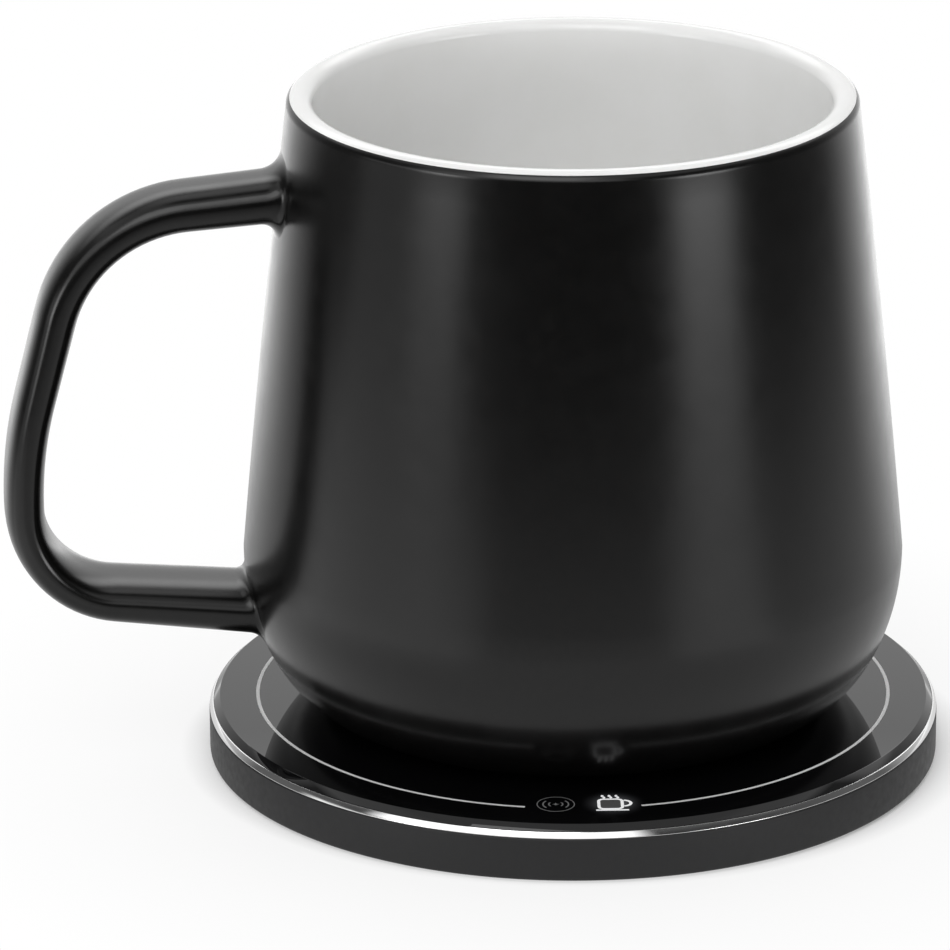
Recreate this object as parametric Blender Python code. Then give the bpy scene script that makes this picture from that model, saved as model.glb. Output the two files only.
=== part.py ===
"""A round warming base with its matched ceramic mug standing on it.

Units are metres, +Z is up, and the origin is the middle of the base's underside.
The front, with the two touch symbols, faces -Y. The power inlet faces +Y.
The mug's handle points to -X, turned a little towards the front.
"""
import math

import bmesh
import bpy
from mathutils import Matrix, Vector

# Flat faces round an outer turned piece, an inner one and a small one, the angle from which an
# edge stays sharp, and flat faces along a turned corner, a lip and a taper
ROUND_STEPS = 64
INNER_STEPS = 48
SMALL_STEPS = 16
SHARP_ANGLE = 35
CORNER_STEPS = 8
LIP_STEPS = 6
TAPER_STEPS = 5

# Clearance between pieces that touch, how far a cutter runs past its cut, and the reach of a weld
GAP = 0.0003
OVERRUN = 0.001
WELD_REACH = 0.0000001

# Base: pad, cover and shell
BASE_RADIUS = 0.0520
PAD_THICK = 0.0004
PAD_MARGIN = 0.0005
COVER_THICK = 0.0013
SHELL_WALL = 0.0020
SHELL_LIFT = 0.0004
SHELL_FOOT_CHAMFER = 0.0005
LEDGE_REACH = 0.0030
LEDGE_THICK = 0.0016
POCKET_RISE = 0.0002

# Base: glass top, tape and trim ring
GLASS_THICK = 0.0011
GLASS_BEVEL_WIDTH = 0.0008
GLASS_BEVEL_DROP = 0.00085
TAPE_THICK = 0.0004
TAPE_INSET = 0.0005
TAPE_WIDTH = 0.0025
TRIM_WIDTH = 0.0007
TRIM_TOP_WIDTH = 0.0002

# Base: screws that hold the cover, their bosses and their angles
SCREW_RADIUS = 0.0008
SCREW_HEAD_RADIUS = 0.0015
SCREW_HEAD_HEIGHT = 0.0008
SCREW_LENGTH = 0.0036
BOSS_RADIUS = 0.0030
BOSS_MERGE = 0.0003
SCREW_ANGLES = (45, 135, 225, 315)

# Base: coil stack in the cover's well
COIL_RADIUS = 0.0250
COIL_HOLE_RADIUS = 0.0080
COIL_THICK = 0.0013
FERRITE_MARGIN = 0.0010
FERRITE_THICK = 0.0008
SHIELD_THICK = 0.0005
WELL_WALL = 0.0010
COIL_PAD_LEAST = 0.0004
SENSOR_RADIUS = 0.0015
LEAD_RADIUS = 0.0004
LEAD_SPACING = 0.0018
LEAD_LANDING = 0.0040
LEAD_ANGLE = 112

# Base: ring-shaped control board, its posts and its parts
BOARD_THICK = 0.0008
BOARD_RING_WIDTH = 0.0125
BOARD_EDGE_GAP = 0.0006
POST_RADIUS = 0.0016
POST_INSET = 0.0025
PIN_RADIUS = 0.0007
PIN_PROUD = 0.0005
POST_ANGLES = (0, 90, 180, 270)
INDUCTOR_SIZE = (0.0050, 0.0050, 0.0017)
INDUCTOR_ANGLE = 205
CAPACITOR_SIZE = (0.0025, 0.0036, 0.0015)
CAPACITOR_ANGLES = (150, 160, 170)
CONTROLLER_SIZE = (0.0050, 0.0050, 0.0009)
CONTROLLER_ANGLE = 335
DRIVER_SIZE = (0.0030, 0.0030, 0.0008)
DRIVER_ANGLES = (15, 25)
PART_BEVEL = 0.0002

# Base: touch contacts under the two symbols, with their lamps
CONTACT_RADIUS = 0.0020
CONTACT_WALL = 0.0006
CONTACT_SPACING = 0.0081
LED_RADIUS = 0.0009
LED_HEIGHT = 0.0006

# Base: power inlet
SOCKET_WIDTH = 0.00894
SOCKET_HEIGHT = 0.00326
SOCKET_DEPTH = 0.00735
SOCKET_WALL = 0.00035
SOCKET_BACK_WALL = 0.0008
SOCKET_INSET = 0.0008
TONGUE_WIDTH = 0.0067
TONGUE_THICK = 0.0007
TONGUE_LENGTH = 0.0048

# Mug: outer shape, measured from its foot
MUG_HEIGHT = 0.0885
RIM_RADIUS = 0.0396
BELLY_RADIUS = 0.0467
BELLY_HEIGHT = 0.0222
FOOT_RADIUS = 0.0324
FOOT_RING_WIDTH = 0.0030
TAPER_BULGE_SHARE = 0.14
BELLY_POWER = 2.0

# Mug: wall, lip and inside
MUG_WALL = 0.0037
LIP_ROUND = 0.0016
FLOOR_THICK = 0.0040
INNER_FLOOR_RADIUS = 0.0330
INNER_CORNER_HEIGHT = 0.0100
INNER_CORNER_POWER = 2.2

# Mug: handle, as corners of its centre line at a distance from the axis and a height
HANDLE_TURN = 6
HANDLE_TOP_WIDTH = 0.0120
HANDLE_LOW_WIDTH = 0.0152
HANDLE_THICK = 0.0055
TOP_ROOT_THICK = 0.0066
TOP_ROOT_RUN = 0.0450
LOW_ROOT_THICK = 0.0070
LOW_ROOT_RUN = 0.0300
HANDLE_POWER = 3.2
HANDLE_SIDES = 16
TOP_ROOT_HEIGHT = 0.0752
TOP_CORNER = (0.0687, 0.0731)
GRIP_BEND = (0.0776, 0.0397)
LOW_CORNER = (0.0776, 0.0191)
LOW_ROOT_HEIGHT = 0.0154
TOP_CORNER_RADIUS = 0.0205
GRIP_BEND_RADIUS = 0.0591
LOW_CORNER_RADIUS = 0.0138
CORNER_LIMIT_SHARE = 0.60
GRIP_LIMIT_SHARE = 0.38
HANDLE_FLARE = 0.0022
ROOT_DEPTH_SHARE = 0.65
BEND_STEPS = 7
FLARE_STEPS = 4
SLIDE_ROUNDS = 12

# Mug: stack in the foot, from the cap up to the heater
CAP_THICK = 0.0012
CAP_RIM_WALL = 0.0010
SEAL_WIDTH = 0.0006
PICKUP_RADIUS = 0.0250
PICKUP_HOLE_RADIUS = 0.0080
PICKUP_THICK = 0.0012
PICKUP_FERRITE_MARGIN = 0.0008
PICKUP_FERRITE_THICK = 0.0008
RECEIVER_BOARD_THICK = 0.0008
RECEIVER_PART_HEIGHT = 0.0012
RECEIVER_PARTS_CIRCLE = 0.0150
RECTIFIER_SIDE = 0.0040
RECTIFIER_ANGLES = (20, 60)
RECEIVER_CAPACITOR_SIZE = (0.0025, 0.0036)
RECEIVER_CAPACITOR_ANGLES = (110, 140)
FUSE_LENGTH = 0.0060
FUSE_RADIUS = 0.0006
FUSE_ANGLE = 230
MUG_SENSOR_RADIUS = 0.0009
INSULATION_THICK = 0.0012
INSULATION_MARGIN = 0.0006
HEATER_THICK = 0.0008

# Base radii that follow
shell_inner = BASE_RADIUS - SHELL_WALL
ledge_inner = shell_inner - LEDGE_REACH
pocket_radius = BASE_RADIUS - TRIM_WIDTH
glass_radius = pocket_radius - GAP
cover_radius = shell_inner - GAP
ferrite_radius = COIL_RADIUS + FERRITE_MARGIN
well_inner = ferrite_radius + GAP
well_outer = well_inner + WELL_WALL
board_outer = shell_inner - BOARD_EDGE_GAP
board_inner = board_outer - BOARD_RING_WIDTH
parts_circle = (board_inner + board_outer) / 2
post_circle = board_inner + POST_INSET
boss_circle = shell_inner + BOSS_MERGE - BOSS_RADIUS
contact_circle = ledge_inner - GAP - CONTACT_RADIUS

# Base heights that follow, from the table up
cover_bottom = PAD_THICK + GAP
cover_top = cover_bottom + COVER_THICK
shield_bottom = cover_top + GAP
ferrite_bottom = shield_bottom + SHIELD_THICK + GAP
coil_bottom = ferrite_bottom + FERRITE_THICK + GAP
coil_top = coil_bottom + COIL_THICK
board_middle = cover_top + GAP + SOCKET_HEIGHT / 2
board_bottom = board_middle - BOARD_THICK / 2
board_top = board_middle + BOARD_THICK / 2
socket_top = board_middle + SOCKET_HEIGHT / 2
ledge_bottom = max(board_top + GAP, coil_top + COIL_PAD_LEAST - LEDGE_THICK - TAPE_THICK)
ledge_top = max(ledge_bottom + LEDGE_THICK, socket_top + GAP + GAP)
tape_bottom = ledge_top + GAP
glass_bottom = tape_bottom + TAPE_THICK + GAP
glass_top = glass_bottom + GLASS_THICK
shell_top = ledge_top + POCKET_RISE
trim_bottom = shell_top + GAP
trim_top = glass_top - GLASS_BEVEL_DROP
room_top = glass_bottom - GAP
boss_top = (ledge_bottom + ledge_top) / 2
screw_tip = cover_bottom + SCREW_LENGTH

# Mug heights and radii that follow, from its foot up
recess_radius = FOOT_RADIUS - FOOT_RING_WIDTH
cap_bottom = GAP
cap_top = cap_bottom + CAP_THICK
pickup_bottom = cap_top + GAP
pickup_ferrite_bottom = pickup_bottom + PICKUP_THICK + GAP
pickup_ferrite_top = pickup_ferrite_bottom + PICKUP_FERRITE_THICK
receiver_board_bottom = pickup_ferrite_top + GAP
receiver_board_top = receiver_board_bottom + RECEIVER_BOARD_THICK
receiver_parts_bottom = receiver_board_top + GAP
insulation_bottom = receiver_parts_bottom + RECEIVER_PART_HEIGHT + GAP
heater_bottom = insulation_bottom + INSULATION_THICK + GAP
recess_depth = heater_bottom + HEATER_THICK + GAP
floor_height = recess_depth + FLOOR_THICK
lip_base = MUG_HEIGHT - LIP_ROUND
seal_outer = recess_radius - GAP
cap_radius = seal_outer - SEAL_WIDTH - GAP
pickup_ferrite_radius = PICKUP_RADIUS + PICKUP_FERRITE_MARGIN
foil_radius = recess_radius - INSULATION_MARGIN

# The mug stands a hair above the glass
mug_seat = glass_top + GAP


def clear_scene():
    for item in list(bpy.data.objects):
        bpy.data.objects.remove(item, do_unlink=True)


def make_material(name, colour, roughness, metallic):
    material = bpy.data.materials.new(name)
    material.use_nodes = True
    shader = material.node_tree.nodes["Principled BSDF"]
    shader.inputs["Base Color"].default_value = (*colour, 1)
    shader.inputs["Roughness"].default_value = roughness
    shader.inputs["Metallic"].default_value = metallic
    return material


def make_object(name, mesh_builder, look, parent=None):
    """Turn a bmesh into a named object with its own material."""
    bmesh.ops.recalc_face_normals(mesh_builder, faces=mesh_builder.faces)
    mesh = bpy.data.meshes.new(name)
    mesh_builder.to_mesh(mesh)
    mesh_builder.free()
    mesh.materials.append(make_material(name, *look))
    mesh.shade_smooth()
    mesh.set_sharp_from_angle(angle=math.radians(SHARP_ANGLE))
    item = bpy.data.objects.new(name, mesh)
    bpy.context.scene.collection.objects.link(item)
    item.parent = parent
    return item


def turned(profile, steps=INNER_STEPS, closed=False):
    """Spin a profile of (radius, height) points round the Z axis."""
    shape = bmesh.new()
    points = [shape.verts.new((radius, 0, height)) for radius, height in profile]
    edges = [shape.edges.new(pair) for pair in zip(points, points[1:])]
    if closed:
        edges.append(shape.edges.new((points[-1], points[0])))
    bmesh.ops.spin(shape, geom=points + edges, cent=(0, 0, 0), axis=(0, 0, 1),
                   angle=math.tau, steps=steps, use_merge=True)
    bmesh.ops.remove_doubles(shape, verts=shape.verts, dist=WELD_REACH)
    return shape


def disc(radius, bottom, top, steps=INNER_STEPS):
    return turned([(0, bottom), (radius, bottom), (radius, top), (0, top)], steps)


def ring(inner, outer, bottom, top, steps=INNER_STEPS):
    return turned([(inner, bottom), (outer, bottom), (outer, top), (inner, top)], steps, closed=True)


def block(size, bottom, bevel=PART_BEVEL):
    """A box centred on the Z axis, with its upper edges eased."""
    shape = bmesh.new()
    bmesh.ops.create_cube(shape, size=1)
    bmesh.ops.scale(shape, vec=size, verts=shape.verts)
    bmesh.ops.translate(shape, vec=(0, 0, bottom + size[2] / 2), verts=shape.verts)
    if bevel:
        middle = bottom + size[2] / 2
        top_edges = [edge for edge in shape.edges if all(v.co.z > middle for v in edge.verts)]
        bmesh.ops.bevel(shape, geom=top_edges, offset=bevel, segments=1, affect="EDGES")
    return shape


def obround(width, height, front, back, middle):
    """A bar along Y with round sides, like a power plug."""
    shape = bmesh.new()
    radius = height / 2
    reach = width / 2 - radius
    outline = []
    for side, start in ((1, -90), (-1, 90)):
        for step in range(SMALL_STEPS // 2 + 1):
            angle = math.radians(start + 180 * step / (SMALL_STEPS // 2))
            across = side * reach + radius * math.cos(angle)
            outline.append(shape.verts.new((across, front, middle + radius * math.sin(angle))))
    face = shape.faces.new(outline)
    extruded = bmesh.ops.extrude_face_region(shape, geom=[face])
    moved = [item for item in extruded["geom"] if isinstance(item, bmesh.types.BMVert)]
    bmesh.ops.translate(shape, vec=(0, back - front, 0), verts=moved)
    return shape


def rod(radius, start, end):
    """A thin round rod lying along +X."""
    shape = disc(radius, start, end, SMALL_STEPS // 2)
    bmesh.ops.rotate(shape, cent=(0, 0, 0), matrix=Matrix.Rotation(math.radians(90), 3, "Y"),
                     verts=shape.verts)
    return shape


def move(shape, angle=0, distance=0, sideways=0, height=0):
    """Place a bmesh at a distance and an angle from the Z axis."""
    bmesh.ops.translate(shape, vec=(distance, sideways, height), verts=shape.verts)
    bmesh.ops.rotate(shape, cent=(0, 0, 0), matrix=Matrix.Rotation(math.radians(angle), 3, "Z"),
                     verts=shape.verts)
    return shape


def boolean(item, shape, operation):
    """Cut or join a bmesh into an object and apply the result."""
    bmesh.ops.recalc_face_normals(shape, faces=shape.faces)
    mesh = bpy.data.meshes.new("tool")
    shape.to_mesh(mesh)
    shape.free()
    tool = bpy.data.objects.new("tool", mesh)
    bpy.context.scene.collection.objects.link(tool)
    tool.parent = item.parent
    modifier = item.modifiers.new("boolean", "BOOLEAN")
    modifier.operation = operation
    modifier.object = tool
    bpy.context.view_layer.update()
    result = bpy.data.meshes.new_from_object(item.evaluated_get(bpy.context.evaluated_depsgraph_get()))
    item.modifiers.remove(modifier)
    item.data = result
    bpy.data.objects.remove(tool, do_unlink=True)


def cut(item, shape):
    boolean(item, shape, "DIFFERENCE")


def join(item, shape):
    boolean(item, shape, "UNION")


# Looks: colour, roughness, metallic
BLACK_PLASTIC = ((0.030, 0.030, 0.032), 0.55, 0)
BLACK_GLASS = ((0.004, 0.004, 0.005), 0.06, 0)
CHROME = ((0.86, 0.87, 0.88), 0.12, 1)
FOAM = ((0.08, 0.08, 0.08), 0.95, 0)
SILICONE = ((0.045, 0.045, 0.045), 0.85, 0)
COPPER = ((0.72, 0.36, 0.20), 0.35, 1)
FERRITE = ((0.06, 0.06, 0.065), 0.70, 0)
ALUMINIUM = ((0.80, 0.81, 0.82), 0.35, 1)
AMBER_FILM = ((0.80, 0.42, 0.05), 0.40, 0)
BOARD_GREEN = ((0.02, 0.18, 0.07), 0.45, 0)
CHIP_BLACK = ((0.02, 0.02, 0.02), 0.45, 0)
CERAMIC_TAN = ((0.55, 0.42, 0.28), 0.50, 0)
STEEL = ((0.62, 0.62, 0.64), 0.30, 1)
CONDUCTIVE = ((0.30, 0.30, 0.31), 0.60, 0)
LED_WHITE = ((0.95, 0.93, 0.80), 0.30, 0)
MICA = ((0.70, 0.66, 0.55), 0.80, 0)
BLACK_GLAZE = ((0.018, 0.018, 0.018), 0.38, 0)


def screw_profile(margin):
    """Half outline of a countersunk screw, grown by a margin for its hole."""
    head_top = cover_bottom
    return [(0, head_top), (SCREW_HEAD_RADIUS + margin, head_top),
            (SCREW_RADIUS + margin, head_top + SCREW_HEAD_HEIGHT),
            (SCREW_RADIUS + margin, screw_tip + margin), (0, screw_tip + margin)]


def screw_hole():
    """Cutter for a screw's hole, which runs on below the cover."""
    profile = screw_profile(GAP)
    return turned([(0, -OVERRUN), (profile[1][0], -OVERRUN)] + profile[1:], SMALL_STEPS)


def build_shell():
    profile = [
        (shell_inner, SHELL_LIFT),
        (BASE_RADIUS - SHELL_FOOT_CHAMFER, SHELL_LIFT),
        (BASE_RADIUS, SHELL_LIFT + SHELL_FOOT_CHAMFER),
        (BASE_RADIUS, shell_top),
        (pocket_radius, shell_top),
        (pocket_radius, ledge_top),
        (ledge_inner, ledge_top),
        (ledge_inner, ledge_bottom),
        (shell_inner, ledge_bottom),
    ]
    shell = make_object("base_shell", turned(profile, ROUND_STEPS, closed=True), BLACK_PLASTIC)
    for angle in SCREW_ANGLES:
        boss = disc(BOSS_RADIUS, cover_top + GAP, boss_top, SMALL_STEPS)
        join(shell, move(boss, angle, boss_circle))
    for angle in SCREW_ANGLES:
        cut(shell, move(screw_hole(), angle, boss_circle))
    port = obround(SOCKET_WIDTH + 2 * GAP, SOCKET_HEIGHT + 2 * GAP,
                   ledge_inner - OVERRUN, BASE_RADIUS + OVERRUN, board_middle)
    cut(shell, port)


def build_cover():
    profile = [
        (0, cover_bottom), (cover_radius, cover_bottom), (cover_radius, cover_top),
        (well_outer, cover_top), (well_outer, coil_top), (well_inner, coil_top),
        (well_inner, cover_top), (0, cover_top),
    ]
    cover = make_object("bottom_cover", turned(profile), BLACK_PLASTIC)
    root = cover_bottom + COVER_THICK / 2
    for angle in POST_ANGLES:
        post = turned([(0, root), (POST_RADIUS, root), (POST_RADIUS, board_bottom - GAP),
                       (PIN_RADIUS, board_bottom - GAP), (PIN_RADIUS, board_top + PIN_PROUD),
                       (0, board_top + PIN_PROUD)], SMALL_STEPS)
        join(cover, move(post, angle, post_circle))
    for angle in SCREW_ANGLES:
        cut(cover, move(screw_hole(), angle, boss_circle))
    slot_width = LEAD_SPACING + 2 * (LEAD_RADIUS + GAP)
    slot = block((4 * WELL_WALL, slot_width, coil_top), coil_bottom, 0)
    cut(cover, move(slot, LEAD_ANGLE, (well_inner + well_outer) / 2))


def build_screws():
    for number, angle in enumerate(SCREW_ANGLES, start=1):
        screw = turned(screw_profile(0), SMALL_STEPS)
        make_object(f"cover_screw_{number}", move(screw, angle, boss_circle), STEEL)


def build_glass_and_trim():
    bevel_inner = glass_radius - GLASS_BEVEL_WIDTH
    glass = turned([(0, glass_bottom), (glass_radius, glass_bottom), (glass_radius, trim_top),
                    (bevel_inner, glass_top), (0, glass_top)], ROUND_STEPS)
    make_object("glass_top", glass, BLACK_GLASS)
    trim = turned([(pocket_radius, trim_bottom), (BASE_RADIUS, trim_bottom),
                   (pocket_radius + TRIM_TOP_WIDTH, trim_top), (pocket_radius, trim_top)],
                  ROUND_STEPS, closed=True)
    make_object("chrome_ring", trim, CHROME)
    tape_inner = ledge_inner + TAPE_INSET
    tape = ring(tape_inner, tape_inner + TAPE_WIDTH, tape_bottom, tape_bottom + TAPE_THICK)
    make_object("glass_tape", tape, FOAM)


def build_pad():
    make_object("base_pad", disc(cover_radius - PAD_MARGIN, 0, PAD_THICK), SILICONE)


def build_coil_stack():
    make_object("shield_plate", disc(ferrite_radius, shield_bottom, shield_bottom + SHIELD_THICK),
                ALUMINIUM)
    make_object("ferrite_plate", disc(ferrite_radius, ferrite_bottom, ferrite_bottom + FERRITE_THICK),
                FERRITE)
    make_object("transmitter_coil", ring(COIL_HOLE_RADIUS, COIL_RADIUS, coil_bottom, coil_top), COPPER)
    make_object("coil_pad", ring(SENSOR_RADIUS + GAP, well_outer, coil_top + GAP, room_top), AMBER_FILM)
    make_object("plate_sensor", disc(SENSOR_RADIUS, coil_bottom, room_top, SMALL_STEPS), CERAMIC_TAN)
    lead_height = max((coil_bottom + coil_top) / 2, board_top + GAP + LEAD_RADIUS)
    for name, side in (("coil_lead_inner", -1), ("coil_lead_outer", 1)):
        lead = rod(LEAD_RADIUS, COIL_RADIUS + GAP, board_inner + LEAD_LANDING)
        placed = move(lead, LEAD_ANGLE, sideways=side * LEAD_SPACING / 2, height=lead_height)
        make_object(name, placed, COPPER)


def build_board():
    board = make_object("control_board", ring(board_inner, board_outer, board_bottom, board_top),
                        BOARD_GREEN)
    for angle in SCREW_ANGLES:
        notch = disc(BOSS_RADIUS + GAP, board_bottom - OVERRUN, board_top + OVERRUN, SMALL_STEPS)
        cut(board, move(notch, angle, boss_circle))
    for angle in POST_ANGLES:
        hole = disc(PIN_RADIUS + GAP, board_bottom - OVERRUN, board_top + OVERRUN, SMALL_STEPS)
        cut(board, move(move(hole, 180 / SMALL_STEPS), angle, post_circle))
    socket_back = BASE_RADIUS - SOCKET_INSET - SOCKET_DEPTH
    notch_run = board_outer - socket_back + GAP + OVERRUN
    notch = block((notch_run, SOCKET_WIDTH + 2 * GAP, BOARD_THICK + 2 * OVERRUN),
                  board_bottom - OVERRUN, 0)
    cut(board, move(notch, 90, socket_back - GAP + notch_run / 2))


def build_board_parts():
    bottom = board_top + GAP
    parts = [("power_inductor", INDUCTOR_SIZE, INDUCTOR_ANGLE, FERRITE),
             ("controller_chip", CONTROLLER_SIZE, CONTROLLER_ANGLE, CHIP_BLACK)]
    for number, angle in enumerate(CAPACITOR_ANGLES, start=1):
        parts.append((f"resonant_capacitor_{number}", CAPACITOR_SIZE, angle, CERAMIC_TAN))
    for number, angle in enumerate(DRIVER_ANGLES, start=1):
        parts.append((f"driver_chip_{number}", DRIVER_SIZE, angle, CHIP_BLACK))
    for name, size, angle, look in parts:
        make_object(name, move(block(size, bottom), angle, parts_circle), look)


def build_touch_parts():
    bottom = board_top + GAP
    half_turn = math.degrees(math.asin(CONTACT_SPACING / 2 / contact_circle))
    for side, turn in (("left", -half_turn), ("right", half_turn)):
        tube = ring(CONTACT_RADIUS - CONTACT_WALL, CONTACT_RADIUS, bottom, room_top, SMALL_STEPS)
        make_object(f"touch_contact_{side}", move(tube, turn - 90, contact_circle), CONDUCTIVE)
        lamp = disc(LED_RADIUS, bottom, bottom + LED_HEIGHT, SMALL_STEPS)
        make_object(f"indicator_led_{side}", move(lamp, turn - 90, contact_circle), LED_WHITE)


def build_socket():
    mouth = BASE_RADIUS - SOCKET_INSET
    back = mouth - SOCKET_DEPTH
    socket = make_object("usb_c_socket", obround(SOCKET_WIDTH, SOCKET_HEIGHT, back, mouth, board_middle),
                         STEEL)
    cavity_back = back + SOCKET_BACK_WALL
    cut(socket, obround(SOCKET_WIDTH - 2 * SOCKET_WALL, SOCKET_HEIGHT - 2 * SOCKET_WALL,
                        cavity_back, mouth + OVERRUN, board_middle))
    tongue = block((TONGUE_LENGTH, TONGUE_WIDTH, TONGUE_THICK), board_middle - TONGUE_THICK / 2)
    make_object("usb_c_tongue", move(tongue, 90, cavity_back + GAP + TONGUE_LENGTH / 2), CHIP_BLACK)


def outer_radius(height):
    """Radius of the mug's outside at a height above its foot."""
    if height >= BELLY_HEIGHT:
        share = (MUG_HEIGHT - height) / (MUG_HEIGHT - BELLY_HEIGHT)
        return RIM_RADIUS + (BELLY_RADIUS - RIM_RADIUS) * (
            share + TAPER_BULGE_SHARE * share * (1 - share))
    drop = (1 - height / BELLY_HEIGHT) ** BELLY_POWER
    return FOOT_RADIUS + (BELLY_RADIUS - FOOT_RADIUS) * (1 - drop) ** (1 / BELLY_POWER)


def quarter(start, end, power, steps):
    """Rounded corner from a flat point (radius, height) up to an upright one."""
    points = []
    for step in range(steps + 1):
        angle = math.pi / 2 * step / steps
        across = math.sin(angle) ** (2 / power)
        rise = 1 - math.cos(angle) ** (2 / power)
        points.append((start[0] + (end[0] - start[0]) * across, start[1] + (end[1] - start[1]) * rise))
    return points


def mug_profile():
    """Half section of the cup, from the recess's roof round the outside to the inner floor."""
    points = [(0, recess_depth), (recess_radius, recess_depth), (recess_radius, 0)]
    points += quarter((FOOT_RADIUS, 0), (BELLY_RADIUS, BELLY_HEIGHT), BELLY_POWER, CORNER_STEPS)
    for step in range(1, TAPER_STEPS + 1):
        height = BELLY_HEIGHT + (lip_base - BELLY_HEIGHT) * step / TAPER_STEPS
        points.append((outer_radius(height), height))
    lip_outer = outer_radius(lip_base)
    for step in range(1, LIP_STEPS):
        angle = math.pi * step / LIP_STEPS
        points.append((lip_outer - MUG_WALL / 2 * (1 - math.cos(angle)),
                       lip_base + LIP_ROUND * math.sin(angle)))
    corner_top = floor_height + INNER_CORNER_HEIGHT
    for step in range(TAPER_STEPS):
        height = lip_base + (corner_top - lip_base) * step / TAPER_STEPS
        points.append((outer_radius(height) - MUG_WALL, height))
    inner = quarter((INNER_FLOOR_RADIUS, floor_height), (outer_radius(corner_top) - MUG_WALL, corner_top),
                    INNER_CORNER_POWER, CORNER_STEPS)
    points += reversed(inner)
    points.append((0, floor_height))
    return points


def bend(before, corner, after, radius, limit_share):
    """Points of the arc that rounds a corner of the handle's centre line, kept to a share of each leg."""
    towards = Vector(before) - Vector(corner)
    away = Vector(after) - Vector(corner)
    half = towards.angle(away) / 2
    run = min(radius / math.tan(half), limit_share * towards.length, limit_share * away.length)
    towards.normalize()
    away.normalize()
    centre = Vector(corner) + (towards + away).normalized() * run / math.cos(half)
    first = Vector(corner) + towards * run - centre
    last = Vector(corner) + away * run - centre
    turn = math.atan2(first.x * last.y - first.y * last.x, first.dot(last))
    points = []
    for step in range(BEND_STEPS + 1):
        points.append(centre + Matrix.Rotation(turn * step / BEND_STEPS, 2) @ first)
    return points


def wall_point(height):
    """Where the handle's centre line meets the mug's outside, as (distance, height)."""
    return Vector((outer_radius(height), height))


def slide_to_wall(spot, away):
    """Slide a point along the handle's direction until it meets the mug's outside."""
    for _ in range(SLIDE_ROUNDS):
        spot = spot - away * (math.hypot(spot.x, spot.y) - outer_radius(spot.z))
    return spot


def handle_size(centre):
    """Half thickness and half width of the handle, which narrows upwards and thickens at its roots."""
    top_root, low_root = wall_point(TOP_ROOT_HEIGHT), wall_point(LOW_ROOT_HEIGHT)
    top_share = max(1 - (centre - top_root).length / TOP_ROOT_RUN, 0)
    low_share = max(1 - (centre - low_root).length / LOW_ROOT_RUN, 0)
    thick = HANDLE_THICK + (TOP_ROOT_THICK - HANDLE_THICK) * top_share
    thick += (LOW_ROOT_THICK - HANDLE_THICK) * low_share
    rise = (centre.y - low_root.y) / (top_root.y - low_root.y)
    return thick / 2, (HANDLE_LOW_WIDTH + (HANDLE_TOP_WIDTH - HANDLE_LOW_WIDTH) * rise) / 2


def handle_section(shape, centre, forward, reach=None):
    """A rounded section across the handle. With a reach from the wall, it flares and follows the wall."""
    half_thick, half_width = handle_size(centre)
    if reach is not None:
        short = HANDLE_FLARE - max(reach, 0)
        flare = HANDLE_FLARE - math.sqrt(HANDLE_FLARE ** 2 - short ** 2)
        half_thick += flare
        half_width += flare
    away = math.copysign(1, forward.x) * Vector((forward.x, 0, forward.y))
    section = []
    for side in range(HANDLE_SIDES):
        angle = math.tau * (side + 0.5) / HANDLE_SIDES
        up = half_thick * math.copysign(abs(math.cos(angle)) ** (2 / HANDLE_POWER), math.cos(angle))
        wide = half_width * math.copysign(abs(math.sin(angle)) ** (2 / HANDLE_POWER), math.sin(angle))
        spot = Vector((centre.x - forward.y * up, wide, centre.y + forward.x * up))
        if reach is not None:
            spot = slide_to_wall(spot, away) + away * reach
        section.append(shape.verts.new(spot))
    return section


def handle_mesh():
    """The handle along +X, as a strip of sections from inside the wall to inside the wall."""
    top_root, low_root = wall_point(TOP_ROOT_HEIGHT), wall_point(LOW_ROOT_HEIGHT)
    top_run = (Vector(TOP_CORNER) - top_root).normalized()
    low_run = (Vector(LOW_CORNER) - low_root).normalized()
    reaches = [-MUG_WALL * ROOT_DEPTH_SHARE]
    for step in range(1, FLARE_STEPS + 1):
        reaches.append(HANDLE_FLARE * (1 - math.cos(math.pi / 2 * step / FLARE_STEPS)))
    path = bend(top_root, TOP_CORNER, GRIP_BEND, TOP_CORNER_RADIUS, CORNER_LIMIT_SHARE)
    path += bend(TOP_CORNER, GRIP_BEND, LOW_CORNER, GRIP_BEND_RADIUS, GRIP_LIMIT_SHARE)
    path += bend(GRIP_BEND, LOW_CORNER, low_root, LOW_CORNER_RADIUS, CORNER_LIMIT_SHARE)
    befores = [top_root] + path
    afters = path[1:] + [low_root]
    shape = bmesh.new()
    rings = [handle_section(shape, top_root, top_run, reach) for reach in reaches]
    for before, centre, after in zip(befores, path, afters):
        rings.append(handle_section(shape, centre, (after - before).normalized()))
    rings += [handle_section(shape, low_root, -low_run, reach) for reach in reversed(reaches)]
    for ring_a, ring_b in zip(rings, rings[1:]):
        for side in range(HANDLE_SIDES):
            following = (side + 1) % HANDLE_SIDES
            shape.faces.new((ring_a[side], ring_a[following], ring_b[following], ring_b[side]))
    shape.faces.new(rings[0])
    shape.faces.new(reversed(rings[-1]))
    return shape


def build_mug(parent):
    mug = make_object("mug_body", turned(mug_profile(), ROUND_STEPS), BLACK_GLAZE, parent)
    join(mug, handle_mesh())


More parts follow.
